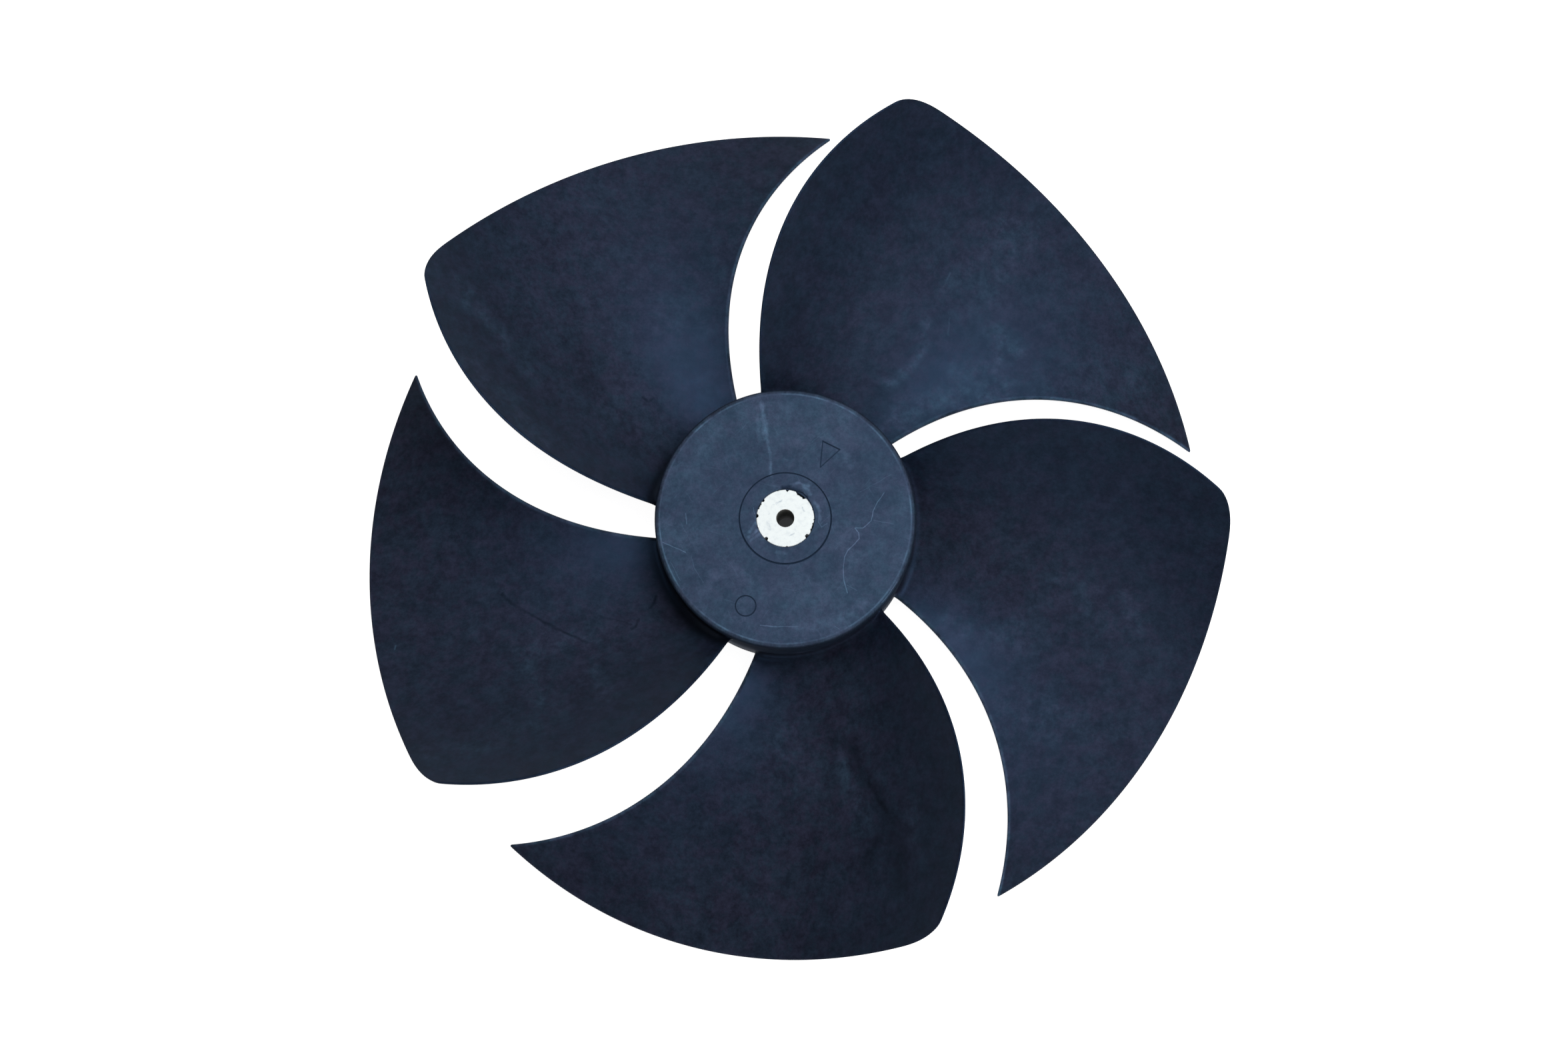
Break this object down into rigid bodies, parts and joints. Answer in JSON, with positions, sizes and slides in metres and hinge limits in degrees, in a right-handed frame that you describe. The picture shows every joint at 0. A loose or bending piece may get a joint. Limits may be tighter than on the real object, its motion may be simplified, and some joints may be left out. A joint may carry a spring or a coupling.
{
  "type": "axial fan wheel",
  "caption": "Moulded plastic fan wheel for an outdoor air unit: swept, cambered blades on a closed hub, with a metal bush for the motor shaft.",
  "frame": {"origin": "on the shaft axis at the back end of the bush, where the shaft's shoulder meets it", "axes": "+Z along the shaft axis, out of the closed hub face towards the side the air is blown to; +X and +Y in the plane of the blades, with a trailing blade corner on +X"},
  "size_m": [0.3969, 0.3948, 0.1013],
  "materials": {
    "wheel_plastic": "moulded, satin",
    "bush_metal": "machined"
  },
  "bodies": {
    "root": {"fan_wheel": "wheel_plastic", "shaft_bush": "bush_metal"}
  },
  "joints": []
}
